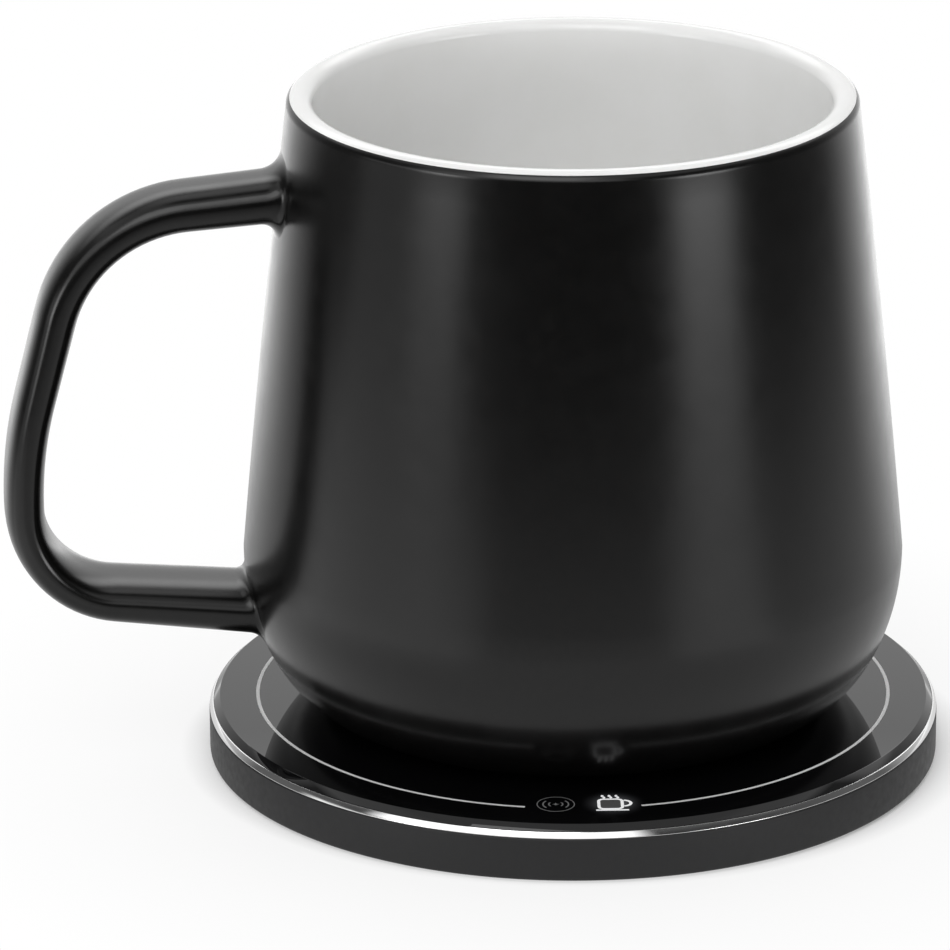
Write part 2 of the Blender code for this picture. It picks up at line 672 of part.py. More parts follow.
def build_mug_foot(parent):
    cap = turned([(0, cap_bottom), (cap_radius, cap_bottom), (cap_radius, pickup_ferrite_top),
                  (cap_radius - CAP_RIM_WALL, pickup_ferrite_top), (cap_radius - CAP_RIM_WALL, cap_top),
                  (0, cap_top)])
    make_object("base_cap", cap, BLACK_PLASTIC, parent)
    make_object("seal_ring", ring(cap_radius + GAP, seal_outer, cap_bottom, cap_top), SILICONE, parent)
    coil = ring(PICKUP_HOLE_RADIUS, PICKUP_RADIUS, pickup_bottom, pickup_bottom + PICKUP_THICK)
    make_object("receiver_coil", coil, COPPER, parent)
    make_object("receiver_ferrite", disc(pickup_ferrite_radius, pickup_ferrite_bottom, pickup_ferrite_top),
                FERRITE, parent)
    make_object("receiver_board", disc(cap_radius, receiver_board_bottom, receiver_board_top),
                BOARD_GREEN, parent)
    insulation = ring(MUG_SENSOR_RADIUS + GAP, foil_radius, insulation_bottom, heater_bottom - GAP)
    make_object("insulation_disc", insulation, MICA, parent)
    make_object("heater_disc", disc(foil_radius, heater_bottom, heater_bottom + HEATER_THICK),
                ALUMINIUM, parent)
    sensor = disc(MUG_SENSOR_RADIUS, receiver_parts_bottom, heater_bottom - GAP, SMALL_STEPS)
    make_object("mug_sensor", sensor, CERAMIC_TAN, parent)


def build_receiver_parts(parent):
    rectifier_size = (RECTIFIER_SIDE, RECTIFIER_SIDE, RECEIVER_PART_HEIGHT)
    for number, angle in enumerate(RECTIFIER_ANGLES, start=1):
        chip = move(block(rectifier_size, receiver_parts_bottom), angle, RECEIVER_PARTS_CIRCLE)
        make_object(f"rectifier_chip_{number}", chip, CHIP_BLACK, parent)
    capacitor_size = (*RECEIVER_CAPACITOR_SIZE, RECEIVER_PART_HEIGHT)
    for number, angle in enumerate(RECEIVER_CAPACITOR_ANGLES, start=1):
        part = move(block(capacitor_size, receiver_parts_bottom), angle, RECEIVER_PARTS_CIRCLE)
        make_object(f"receiver_capacitor_{number}", part, CERAMIC_TAN, parent)
    fuse = rod(FUSE_RADIUS, RECEIVER_PARTS_CIRCLE - FUSE_LENGTH / 2,
               RECEIVER_PARTS_CIRCLE + FUSE_LENGTH / 2)
    placed = move(fuse, FUSE_ANGLE, height=insulation_bottom - GAP - FUSE_RADIUS)
    make_object("thermal_fuse", placed, STEEL, parent)


def main():
    clear_scene()
    build_shell()
    build_cover()
    build_screws()
    build_glass_and_trim()
    build_pad()
    build_coil_stack()
    build_board()
    build_board_parts()
    build_touch_parts()
    build_socket()
    mug = bpy.data.objects.new("mug", None)
    bpy.context.scene.collection.objects.link(mug)
    mug.location = (0, 0, mug_seat)
    mug.rotation_euler = (0, 0, math.radians(180 + HANDLE_TURN))
    build_mug(mug)
    build_mug_foot(mug)
    build_receiver_parts(mug)


main()
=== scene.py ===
"""Looks of a round warming base and its matched ceramic mug.

Units are metres, +Z is up, and the origin is the middle of the base's underside.
"""

import math

import bmesh
import bpy
from mathutils import Matrix, Vector


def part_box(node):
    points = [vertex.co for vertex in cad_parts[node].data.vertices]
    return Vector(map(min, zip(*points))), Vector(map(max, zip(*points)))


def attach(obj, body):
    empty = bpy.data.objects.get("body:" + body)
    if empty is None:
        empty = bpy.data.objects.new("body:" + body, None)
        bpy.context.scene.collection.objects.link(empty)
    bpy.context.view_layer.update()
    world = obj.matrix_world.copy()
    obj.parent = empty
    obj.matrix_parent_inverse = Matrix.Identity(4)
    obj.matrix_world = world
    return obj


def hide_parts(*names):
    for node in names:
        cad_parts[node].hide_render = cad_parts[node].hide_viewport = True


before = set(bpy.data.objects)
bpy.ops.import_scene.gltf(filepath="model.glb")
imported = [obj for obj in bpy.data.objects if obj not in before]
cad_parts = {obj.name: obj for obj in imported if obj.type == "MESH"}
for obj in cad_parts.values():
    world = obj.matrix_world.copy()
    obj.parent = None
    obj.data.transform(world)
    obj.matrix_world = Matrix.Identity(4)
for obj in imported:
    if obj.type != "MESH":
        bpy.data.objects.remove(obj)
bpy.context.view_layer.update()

# Smoothness: faces round a turned piece, round the handle, and along its arcs
RING_STEPS = 256
HANDLE_SIDES = 64
BEND_STEPS = 20
FLARE_STEPS = 12
SLIDE_ROUNDS = 16
CORNER_STEPS = 28
LIP_STEPS = 24
TAPER_STEPS = 20
EDGE_STEPS = 5
SHARP_ANGLE = 40
HANDLE_SHARP_ANGLE = 80

# Places that the frame gives
glass_low, glass_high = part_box("glass_top")
shell_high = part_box("base_shell")[1]
mug_low, mug_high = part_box("mug_body")
socket_low, socket_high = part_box("usb_c_socket")
base_radius = shell_high[0]
glass_top = glass_high[2]
mug_seat = mug_low[2]
mug_height = mug_high[2] - mug_low[2]

# Mug: outer shape, measured from its foot
RIM_RADIUS = 0.0396
BELLY_RADIUS = 0.0467
BELLY_HEIGHT = 0.0222
FOOT_RADIUS = 0.0324
FOOT_RING_WIDTH = 0.0030
TAPER_BULGE_SHARE = 0.14
BELLY_POWER = 2.0
RECESS_DEPTH = 0.0096

# Mug: wall, lip and inside
MUG_WALL = 0.0037
LIP_ROUND = 0.0016
GLAZE_EDGE_ANGLE = 38
FLOOR_HEIGHT = 0.0136
INNER_FLOOR_RADIUS = 0.0330
INNER_CORNER_HEIGHT = 0.0100
INNER_CORNER_POWER = 2.2

# Mug: handle, as corners of its centre line at a distance from the axis and a height
HANDLE_TURN = 6
HANDLE_TOP_WIDTH = 0.0120
HANDLE_LOW_WIDTH = 0.0152
HANDLE_THICK = 0.0055
TOP_ROOT_THICK = 0.0066
TOP_ROOT_RUN = 0.0450
LOW_ROOT_THICK = 0.0070
LOW_ROOT_RUN = 0.0300
HANDLE_POWER = 2.6
TOP_ROOT_HEIGHT = 0.0752
TOP_CORNER = (0.0687, 0.0731)
GRIP_BEND = (0.0776, 0.0397)
LOW_CORNER = (0.0776, 0.0191)
LOW_ROOT_HEIGHT = 0.0154
TOP_CORNER_RADIUS = 0.0205
GRIP_BEND_RADIUS = 0.0591
LOW_CORNER_RADIUS = 0.0138
TOP_FLARE = 0.0028
LOW_FLARE = 0.0018
SIDE_FLARE_SHARE = 0.4
ROOT_SINK = 0.00003

# Base: side wall, glass and trim
WALL_THICK = 0.0020
WALL_FOOT_ROUND = 0.0005
WALL_TOP_ROUND = 0.00025
WALL_LIFT = 0.0004
TRIM_WIDTH = 0.0006
TRIM_LIP = 0.00015
TRIM_DROP = 0.00085
TRIM_HEIGHT = 0.00085
TRIM_EDGE = 0.00008
SEAM = 0.00003
BEVEL_WIDTH = 0.0009
BEVEL_EDGE = 0.00012
PORT_MARGIN = 0.0003
PORT_DEPTH = 0.0040

# Printed marks on the glass
INK_LIFT = 0.00002
CIRCLE_RADIUS = 0.04505
CIRCLE_LINE = 0.00048
CIRCLE_GAP_ANGLE = 10.2
SYMBOL_CIRCLE = 0.0437
POWER_SYMBOL_ANGLE = -4.9
CUP_SYMBOL_ANGLE = 5.4
HALO_GLOW = 0.41
HALO_REACH = (0.0014, 0.0052)
HALO_POWER = 3

# Power symbol: its ring, the waves beside the spark, and the spark
SYMBOL_RING_RADIUS = 0.00255
SYMBOL_RING_LINE = 0.00014
WAVE_RADII = (0.00095, 0.00175)
WAVE_LINE = 0.0002
WAVE_HALF_ANGLE = 42
SPARK_POINTS = 4
SPARK_LONG = 0.00052
SPARK_SHORT = 0.00018

# Cup symbol: its body, handle, saucer and steam, measured from the symbol's middle
CUP_LINE = 0.00042
CUP_WIDTH = 0.0032
CUP_HEIGHT = 0.0034
CUP_CORNER = 0.0007
CUP_MIDDLE = (-0.00035, -0.00015)
EAR_MIDDLE = (0.0013, 0.0001)
EAR_WIDTH = 0.00115
EAR_HEIGHT = 0.00105
EAR_HALF_ANGLE = 80
SAUCER_ENDS = (-0.0024, 0.0021)
SAUCER_LEVEL = -0.0023
STEAM_LINE = 0.00034
STEAM_PLACES = (-0.0013, -0.00035, 0.0006)
STEAM_START = 0.00185
STEAM_RISE = 0.00014
STEAM_WAVE = 0.00016

# Smoothness of the printed marks
SYMBOL_RING_STEPS = 64
SYMBOL_ARC_STEPS = 16
SYMBOL_CORNER_STEPS = 6
STEAM_STEPS = 8

# Surroundings. A ramp is (from value, to value, start, end), over degrees or metres.
FRONT_LEVEL = 0.05
SIDE_LEVEL = 0.13
SIDE_ANGLES = (50, 95)
BACK_ANGLES = (109, 152)
LEFT_DIM_ANGLE = 6
SKY_BACK_LEVEL = 1.05
SKY_LIFT_RAMP = (0.82, 1.65, 23, 33)
SKY_TOP_RAMP = (1, 0.25, 42, 50)
FLOOR_SIZE = 10
FLOOR_COLOUR = (0.92, 0.92, 0.92, 1)
FLOOR_WHITE_RAMP = (0.82, 1, 0.055, 0.10)
GROUND_BACK_LEVEL = 1.5
GROUND_START_RAMP = (0, 1, 0.10, 0.25)
GROUND_FAR_RAMP = (1, 0.75, 0.25, 0.9)
GROUND_NEAR_RAMP = (0.72, 0, 0.11, 0.50)

# The shadow at the base's foot is wider at the sides than in front, and a little wider on the right.
SHADE_OVAL = 1.08
SHADE_SHIFT = 0.0008
SHADE_RAMP = (0.25, 1, 0.0515, 0.0570)

# Lit patches: azimuth from and to, then elevation or radius from and to, and the brightness they add.
# The edges are soft over these degrees, and on the ground over this share of the radius.
AZIMUTH_SOFT = 4
SKY_SOFT = 2
GROUND_SOFT_SHARE = 0.2
SKY_PATCHES = (
    (-90, -62, -9, 14, 0.9),
    (-62, -44, -9, 14, 5.4),
    (38, 61, -9, 12, 6.6),
    (-66, 20, 17, 41, 1.3),
    (-200, -112, 27, 42, 0.6),
    (112, 200, 27, 42, 0.6),
    (-200, 200, 57, 79, 0.64),
    (-115, 115, 43, 57, 0.8),
)
GROUND_PATCHES = (
    (-95, -30, 0.11, 0.40, 0.42),
    (-90, -42, 0.40, 1.3, 0.48),
    (-62, -44, 1.4, 9, 2.6),
    (28, 60, 0.12, 0.40, 0.42),
    (36, 60, 0.40, 1.2, 0.72),
    (38, 61, 1.2, 9, 4.2),
)

# Lamp over the camera's left shoulder
LAMP_AZIMUTH = -18
LAMP_ELEVATION = 49
LAMP_DISTANCE = 0.90
LAMP_WIDTH = 0.50
LAMP_HEIGHT = 0.48
LAMP_LEVEL = 2.2
LAMP_AIM_HEIGHT = 0.04

# The photograph's viewpoint, in metres, degrees and millimetres of lens
CAMERA_DISTANCE = 0.8427
CAMERA_HEIGHT = 0.3402
CAMERA_AZIMUTH = -1.86
CAMERA_PITCH = 19.572
CAMERA_YAW = 0.8855
CAMERA_LENS = 239.53
SENSOR_WIDTH = 36
CLIP_START = 0.01


def set_inputs(node, **values):
    """Set a node's inputs by their names, with underscores for spaces."""
    for name, value in values.items():
        node.inputs[name.replace("_", " ")].default_value = value
    return node


def add_node(tree, kind, **values):
    return set_inputs(tree.nodes.new(kind), **values)


def new_material(name, colour, roughness, metallic=0.0, **values):
    """A material with one Principled shader, its tree and the shader."""
    material = bpy.data.materials.new(name)
    material.use_nodes = True
    tree = material.node_tree
    shader = tree.nodes["Principled BSDF"]
    set_inputs(shader, Base_Color=(*colour, 1), Roughness=roughness, Metallic=metallic, **values)
    return material, tree, shader


def object_place(tree):
    return tree.nodes.new("ShaderNodeTexCoord").outputs["Object"]


def noise(tree, scale, detail=3.0, roughness=0.5):
    texture = add_node(tree, "ShaderNodeTexNoise", Scale=scale, Detail=detail, Roughness=roughness)
    tree.links.new(object_place(tree), texture.inputs["Vector"])
    return texture.outputs["Fac"]


def spread(tree, source, low, high, start=0.3, end=0.7):
    """Map a socket's values, from start to end, to low to high. The defaults suit a noise texture."""
    ramp = add_node(tree, "ShaderNodeMapRange", From_Min=start, From_Max=end, To_Min=low, To_Max=high)
    tree.links.new(source, ramp.inputs["Value"])
    return ramp.outputs["Result"]


def calculate(tree, operation, first, second=0):
    """A math node's result. Each operand is a socket or a value."""
    node = tree.nodes.new("ShaderNodeMath")
    node.operation = operation
    for slot, value in enumerate((first, second)):
        if isinstance(value, (int, float)):
            node.inputs[slot].default_value = value
        else:
            tree.links.new(value, node.inputs[slot])
    return node.outputs[0]


def vector_math(tree, operation, source, *settings):
    """A vector math node on a linked vector, with fixed vectors for its other inputs."""
    node = tree.nodes.new("ShaderNodeVectorMath")
    node.operation = operation
    tree.links.new(source, node.inputs[0])
    for slot, setting in enumerate(settings, 1):
        node.inputs[slot].default_value = setting
    return node


def mix_colours(tree, factor, first, second):
    """Blend two fixed colours by a socket."""
    mix = tree.nodes.new("ShaderNodeMix")
    mix.data_type = "RGBA"
    mix.inputs["A"].default_value = (*first, 1)
    mix.inputs["B"].default_value = (*second, 1)
    tree.links.new(factor, mix.inputs["Factor"])
    return mix.outputs["Result"]


def mix_shaders(tree, share, first, second):
    """Blend two shaders by a socket."""
    mix = tree.nodes.new("ShaderNodeMixShader")
    for slot, source in enumerate((share, first, second)):
        tree.links.new(source, mix.inputs[slot])
    return mix.outputs[0]


def vary_roughness(tree, shader, scale, low, high):
    tree.links.new(spread(tree, noise(tree, scale), low, high), shader.inputs["Roughness"])


def vary_colour(tree, shader, scale, dark, light, detail=3.0):
    """Blend two colours by a noise texture."""
    factor = spread(tree, noise(tree, scale, detail), 0, 1)
    tree.links.new(mix_colours(tree, factor, dark, light), shader.inputs["Base Color"])


def add_bump(tree, shader, source, strength, distance):
    bump = add_node(tree, "ShaderNodeBump", Strength=strength, Distance=distance)
    tree.links.new(source, bump.inputs["Height"])
    tree.links.new(bump.outputs["Normal"], shader.inputs["Normal"])


def symbol_place(angle):
    """A symbol's middle on the glass, as (x, y), from its angle round the base."""
    turn = math.radians(angle)
    return SYMBOL_CIRCLE * math.sin(turn), -SYMBOL_CIRCLE * math.cos(turn)


def black_glaze():
    """Satin black glaze: a little orange peel, and a sheen that varies over the surface."""
    material, tree, shader = new_material("satin_black_glaze", (0.004, 0.004, 0.004), roughness=0.32, IOR=1.45)
    vary_colour(tree, shader, scale=900, dark=(0.0018, 0.0018, 0.0018), light=(0.0034, 0.0032, 0.0030))
    vary_roughness(tree, shader, scale=260, low=0.21, high=0.25)
    add_bump(tree, shader, noise(tree, scale=1500, detail=2), strength=0.10, distance=0.00003)
    return material


def white_glaze():
    """Glossy white glaze with a faint ripple."""
    material, tree, shader = new_material("white_glaze", (0.90, 0.90, 0.89), roughness=0.12)
    vary_colour(tree, shader, scale=120, dark=(0.885, 0.885, 0.875), light=(0.91, 0.91, 0.905))
    vary_roughness(tree, shader, scale=300, low=0.09, high=0.16)
    add_bump(tree, shader, noise(tree, scale=500, detail=2), strength=0.08, distance=0.00004)
    return material


def bare_clay():
    """Unglazed foot, fine and sandy."""
    material, tree, shader = new_material("bare_clay", (0.56, 0.50, 0.43), roughness=0.85)
    vary_colour(tree, shader, scale=1800, dark=(0.48, 0.42, 0.35), light=(0.62, 0.57, 0.50))
    add_bump(tree, shader, noise(tree, scale=4000), strength=0.4, distance=0.00004)
    return material


def black_glass():
    """Polished glass with black print behind it, and a faint halo round the lit symbol."""
    material, tree, shader = new_material("black_glass", (0.0025, 0.0025, 0.0028), roughness=0.015, IOR=1.5,
                                          Emission_Color=(0.9, 0.93, 1, 1))
    vary_roughness(tree, shader, scale=60, low=0.010, high=0.022)
    middle = (*symbol_place(CUP_SYMBOL_ANGLE), glass_top)
    reach = vector_math(tree, "DISTANCE", object_place(tree), middle).outputs["Value"]
    halo = calculate(tree, "POWER", spread(tree, reach, HALO_GLOW, 0, *HALO_REACH), HALO_POWER)
    tree.links.new(halo, shader.inputs["Emission Strength"])
    return material


def chrome():
    """Bright plated trim with slight waviness."""
    material, tree, shader = new_material("bright_chrome", (0.90, 0.90, 0.90), roughness=0.08, metallic=1.0)
    vary_roughness(tree, shader, scale=400, low=0.06, high=0.12)
    add_bump(tree, shader, noise(tree, scale=700, detail=2), strength=0.05, distance=0.00003)
    return material


def matt_plastic(name, colour, grain=0.25):
    """Spark-eroded moulded plastic with a fine grain."""
    light = [value * 1.25 for value in colour]
    material, tree, shader = new_material(name, colour, roughness=0.5, IOR=1.45)
    vary_colour(tree, shader, scale=2500, dark=colour, light=light)
    vary_roughness(tree, shader, scale=900, low=0.46, high=0.56)
    add_bump(tree, shader, noise(tree, scale=6000, detail=2), strength=grain, distance=0.00003)
    return material


def fine_rubber(name, colour):
    light = [value * 1.2 for value in colour]
    material, tree, shader = new_material(name, colour, roughness=0.8)
    vary_colour(tree, shader, scale=1200, dark=colour, light=light)
    add_bump(tree, shader, noise(tree, scale=5000), strength=0.3, distance=0.00003)
    return material


def plain_metal(name, colour, low, high):
    """Sheet or drawn metal with a fine streaky sheen."""
    material, tree, shader = new_material(name, colour, roughness=(low + high) / 2, metallic=1.0)
    vary_roughness(tree, shader, scale=1500, low=low, high=high)
    add_bump(tree, shader, noise(tree, scale=3500), strength=0.06, distance=0.00002)
    return material


def wound_copper():
    """Lacquered copper wire wound flat in close turns."""
    material, tree, shader = new_material("wound_copper", (0.72, 0.36, 0.20), roughness=0.35, metallic=1.0)
    waves = add_node(tree, "ShaderNodeTexWave", Scale=190, Distortion=0.4, Detail=1.0)
    waves.wave_type = "RINGS"
    waves.rings_direction = "Z"
    tree.links.new(object_place(tree), waves.inputs["Vector"])
    add_bump(tree, shader, waves.outputs["Fac"], strength=0.8, distance=0.0002)
    vary_roughness(tree, shader, scale=800, low=0.28, high=0.42)
    return material


def circuit_green():
    """Green solder mask over faint tracks."""
    material, tree, shader = new_material("circuit_green", (0.02, 0.18, 0.07), roughness=0.4)
    vary_colour(tree, shader, scale=450, dark=(0.012, 0.13, 0.045), light=(0.03, 0.23, 0.09), detail=1)
    add_bump(tree, shader, noise(tree, scale=700, detail=1), strength=0.2, distance=0.00005)
    return material


def speckled(name, dark, light, roughness, scale):
    """Sintered or moulded stuff with a fine speckle."""
    material, tree, shader = new_material(name, dark, roughness)
    vary_colour(tree, shader, scale=scale, dark=dark, light=light)
    add_bump(tree, shader, noise(tree, scale=scale * 2), strength=0.2, distance=0.00003)
    return material


def ink(name, colour):
    """Screen-printed ink with a slightly uneven cover."""
    dark = [value * 0.9 for value in colour]
    material, tree, shader = new_material(name, colour, roughness=0.5)
    vary_colour(tree, shader, scale=3000, dark=dark, light=colour)
    return material


def lit_ink(name, colour, glow):
    """A mark that a lamp lights from behind."""
    material, tree, shader = new_material(name, colour, roughness=0.5, Emission_Strength=glow)
    factor = spread(tree, noise(tree, scale=1200), 0, 1)
    tree.links.new(mix_colours(tree, factor, (0.88, 0.90, 0.94), (1, 1, 1)), shader.inputs["Emission Color"])
    return material


def make_piece(name, verts, faces, materials, body, slot, slots=None, sharp=SHARP_ANGLE):
    """Build a mesh object, smooth it, and let it ride on a body."""
    mesh = bpy.data.meshes.new(name)
    mesh.from_pydata(verts, [], faces)
    for material in materials:
        mesh.materials.append(material)
    if slots:
        mesh.polygons.foreach_set("material_index", slots)
    shape = bmesh.new()
    shape.from_mesh(mesh)
    bmesh.ops.recalc_face_normals(shape, faces=shape.faces)
    shape.to_mesh(mesh)
    shape.free()
    mesh.shade_smooth()
    mesh.set_sharp_from_angle(angle=math.radians(sharp))
    piece = bpy.data.objects.new(name, mesh)
    bpy.context.scene.collection.objects.link(piece)
    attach(piece, body)
    return piece


def revolve(profile, slots=None, closed=False):
    """Vertices, faces and face slots of an outline of (radius, height) turned round the Z axis."""
    verts, rows = [], []
    for radius, height in profile:
        if radius == 0:
            rows.append([len(verts)])
            verts.append((0, 0, height))
            continue
        rows.append(list(range(len(verts), len(verts) + RING_STEPS)))
        for step in range(RING_STEPS):
            angle = math.tau * step / RING_STEPS
            verts.append((radius * math.cos(angle), radius * math.sin(angle), height))
    pairs = list(zip(rows, rows[1:]))
    if closed:
        pairs.append((rows[-1], rows[0]))
    faces, face_slots = [], []
    for index, (row_a, row_b) in enumerate(pairs):
        for step in range(RING_STEPS):
            after = (step + 1) % RING_STEPS
            corners = [row_a[step % len(row_a)], row_a[after % len(row_a)],
                       row_b[after % len(row_b)], row_b[step % len(row_b)]]
            faces.append(list(dict.fromkeys(corners)))
            face_slots.append(slots[index] if slots else 0)
    return verts, faces, face_slots


def bend(before, corner, after, radius, steps):
    """Points of the arc that rounds a corner of an outline."""
    corner = Vector(corner)
    towards = (Vector(before) - corner).normalized()
    away = (Vector(after) - corner).normalized()
    half = towards.angle(away) / 2
    centre = corner + (towards + away).normalized() * radius / math.sin(half)
    first = corner + towards * radius / math.tan(half) - centre
    last = corner + away * radius / math.tan(half) - centre
    turn = math.atan2(first.x * last.y - first.y * last.x, first.dot(last))
    return [centre + Matrix.Rotation(turn * step / steps, 2) @ first for step in range(steps + 1)]


def ease(outline, radii, closed=True):
    """Round the corners of an outline, each with its own radius; zero leaves a corner sharp."""
    points = []
    count = len(outline)
    for index, (corner, radius) in enumerate(zip(outline, radii)):
        if radius == 0 or (not closed and index in (0, count - 1)):
            points.append(corner)
        else:
            points += bend(outline[index - 1], corner, outline[(index + 1) % count], radius, EDGE_STEPS)
    return [tuple(point) for point in points]


def outer_radius(height):
    """Radius of the mug's outside at a height above its foot."""
    if height >= BELLY_HEIGHT:
        share = (mug_height - height) / (mug_height - BELLY_HEIGHT)
        return RIM_RADIUS + (BELLY_RADIUS - RIM_RADIUS) * (share + TAPER_BULGE_SHARE * share * (1 - share))
    drop = (1 - height / BELLY_HEIGHT) ** BELLY_POWER
    return FOOT_RADIUS + (BELLY_RADIUS - FOOT_RADIUS) * (1 - drop) ** (1 / BELLY_POWER)


def quarter(start, end, power, steps):
    """Rounded corner from a flat point (radius, height) up to an upright one."""
    points = []
    for step in range(steps + 1):
        angle = math.pi / 2 * step / steps
        across = math.sin(angle) ** (2 / power)
        rise = 1 - math.cos(angle) ** (2 / power)
        points.append((start[0] + (end[0] - start[0]) * across, start[1] + (end[1] - start[1]) * rise))
    return points


def cup_outline():
    """The cup's half section with the slot of each stretch: 0 black glaze, 1 white glaze, 2 bare clay."""
    recess_radius = FOOT_RADIUS - FOOT_RING_WIDTH
    lip_base = mug_height - LIP_ROUND
    points = [(0, RECESS_DEPTH), (recess_radius, RECESS_DEPTH), (recess_radius, 0)]
    slots = [2, 2, 2]
    belly = quarter((FOOT_RADIUS, 0), (BELLY_RADIUS, BELLY_HEIGHT), BELLY_POWER, CORNER_STEPS)
    points += belly
    slots += [0] * len(belly)
    for step in range(1, TAPER_STEPS + 1):
        height = BELLY_HEIGHT + (lip_base - BELLY_HEIGHT) * step / TAPER_STEPS
        points.append((outer_radius(height), height))
        slots.append(0)
    for step in range(1, LIP_STEPS):
        angle = math.pi * step / LIP_STEPS
        points.append((outer_radius(lip_base) - MUG_WALL / 2 * (1 - math.cos(angle)),
                       lip_base + LIP_ROUND * math.sin(angle)))
        slots.append(0 if math.degrees(angle) < GLAZE_EDGE_ANGLE else 1)
    corner_top = FLOOR_HEIGHT + INNER_CORNER_HEIGHT
    for step in range(TAPER_STEPS):
        height = lip_base + (corner_top - lip_base) * step / TAPER_STEPS
        points.append((outer_radius(height) - MUG_WALL, height))
    inner_wall = (outer_radius(corner_top) - MUG_WALL, corner_top)
    points += reversed(quarter((INNER_FLOOR_RADIUS, FLOOR_HEIGHT), inner_wall, INNER_CORNER_POWER,
                               CORNER_STEPS))
    points.append((0, FLOOR_HEIGHT))
    slots += [1] * (len(points) - len(slots))
    return points, slots


def slide_to_wall(spot, away):
    """Slide a point along the handle's direction until it meets the mug's outside."""
    for _ in range(SLIDE_ROUNDS):
        spot = spot - away * (math.hypot(spot.x, spot.y) - outer_radius(spot.z))
    return spot


def wall_point(height):
    """Where the handle's centre line meets the mug's outside, as (distance, height)."""
    return Vector((outer_radius(height), height))


def handle_size(centre):
    """Half thickness and half width of the handle, which narrows upwards and thickens at its roots."""
    top_root, low_root = wall_point(TOP_ROOT_HEIGHT), wall_point(LOW_ROOT_HEIGHT)
    top_share = max(1 - (centre - top_root).length / TOP_ROOT_RUN, 0)
    low_share = max(1 - (centre - low_root).length / LOW_ROOT_RUN, 0)
    thick = HANDLE_THICK + (TOP_ROOT_THICK - HANDLE_THICK) * top_share
    thick += (LOW_ROOT_THICK - HANDLE_THICK) * low_share
    rise = (centre.y - low_root.y) / (top_root.y - low_root.y)
    return thick / 2, (HANDLE_LOW_WIDTH + (HANDLE_TOP_WIDTH - HANDLE_LOW_WIDTH) * rise) / 2


def fillet(radius, reach):
    """How far a fillet of a radius stands out at a reach from the wall."""
    short = max(radius - reach, 0)
    return radius - math.sqrt(radius ** 2 - short ** 2)


def handle_section(centre, forward, flare=0, reach=None):
    """A rounded section across the handle. With a reach from the wall, it flares and follows the wall."""
    half_thick, half_width = handle_size(centre)
    if reach is not None:
        half_thick += fillet(flare, reach)
        half_width += fillet(flare * SIDE_FLARE_SHARE, reach)
    away = math.copysign(1, forward.x) * Vector((forward.x, 0, forward.y))
    section = []
    for side in range(HANDLE_SIDES):
        angle = math.tau * (side + 0.5) / HANDLE_SIDES
        up = half_thick * math.copysign(abs(math.cos(angle)) ** (2 / HANDLE_POWER), math.cos(angle))
        wide = half_width * math.copysign(abs(math.sin(angle)) ** (2 / HANDLE_POWER), math.sin(angle))
        spot = Vector((centre.x - forward.y * up, wide, centre.y + forward.x * up))
        if reach is not None:
            spot = slide_to_wall(spot, away) + away * (reach - ROOT_SINK)
        section.append(spot)
    return section


def handle_sections():
    """Sections along the handle from its upper root to its lower one, along +X."""
    top_root, low_root = wall_point(TOP_ROOT_HEIGHT), wall_point(LOW_ROOT_HEIGHT)
    top_run = (Vector(TOP_CORNER) - top_root).normalized()
    low_run = (Vector(LOW_CORNER) - low_root).normalized()
    shares = [1 - math.cos(math.pi / 2 * step / FLARE_STEPS) for step in range(FLARE_STEPS + 1)]
    path = bend(top_root, TOP_CORNER, GRIP_BEND, TOP_CORNER_RADIUS, BEND_STEPS)
    path += bend(TOP_CORNER, GRIP_BEND, LOW_CORNER, GRIP_BEND_RADIUS, BEND_STEPS)
    path += bend(GRIP_BEND, LOW_CORNER, low_root, LOW_CORNER_RADIUS, BEND_STEPS)
    befores = [top_root] + path
    afters = path[1:] + [low_root]
    sections = [handle_section(top_root, top_run, TOP_FLARE, TOP_FLARE * share) for share in shares]
    for before, centre, after in zip(befores, path, afters):
        sections.append(handle_section(centre, (after - before).normalized()))
    sections += [handle_section(low_root, -low_run, LOW_FLARE, LOW_FLARE * share)
                 for share in reversed(shares)]
    return sections


def build_mug(materials):
    """The glazed cup, and its handle with a flared root that lies on the cup's outside."""
    points, slots = cup_outline()
    verts, faces, face_slots = revolve(points, slots)
    verts = [(x, y, z + mug_seat) for x, y, z in verts]
    cup = make_piece("glazed_cup", verts, faces, materials, "mug", "mug_body", face_slots)
    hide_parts("mug_body")
    turn = Matrix.Rotation(math.radians(180 + HANDLE_TURN), 3, "Z")
    lift = Vector((0, 0, mug_seat))
    sections = handle_sections()
    verts = [turn @ spot + lift for section in sections for spot in section]
    faces = []
    for row in range(len(sections) - 1):
        for side in range(HANDLE_SIDES):
            after = (side + 1) % HANDLE_SIDES
            low, high = row * HANDLE_SIDES, (row + 1) * HANDLE_SIDES
            faces.append((low + side, low + after, high + after, high + side))
    handle = make_piece("glazed_handle", verts, faces, materials[:1], "mug", "mug_body",
                        sharp=HANDLE_SHARP_ANGLE)
    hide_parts("mug_body")


def build_glass(material):
    """Bevelled glass disc, up to a hair from the trim ring."""
    radius = base_radius - TRIM_WIDTH - SEAM
    side_top = glass_top - TRIM_DROP
    outline = [(0, glass_low[2]), (radius, glass_low[2]), (radius, side_top),
               (radius - BEVEL_WIDTH, glass_top), (0, glass_top)]
    profile = ease(outline, (0, 0, BEVEL_EDGE, BEVEL_EDGE, 0), closed=False)
    glass = make_piece("bevelled_glass", *revolve(profile)[:2], [material], "warming_base", "glass_top")
    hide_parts("glass_top")


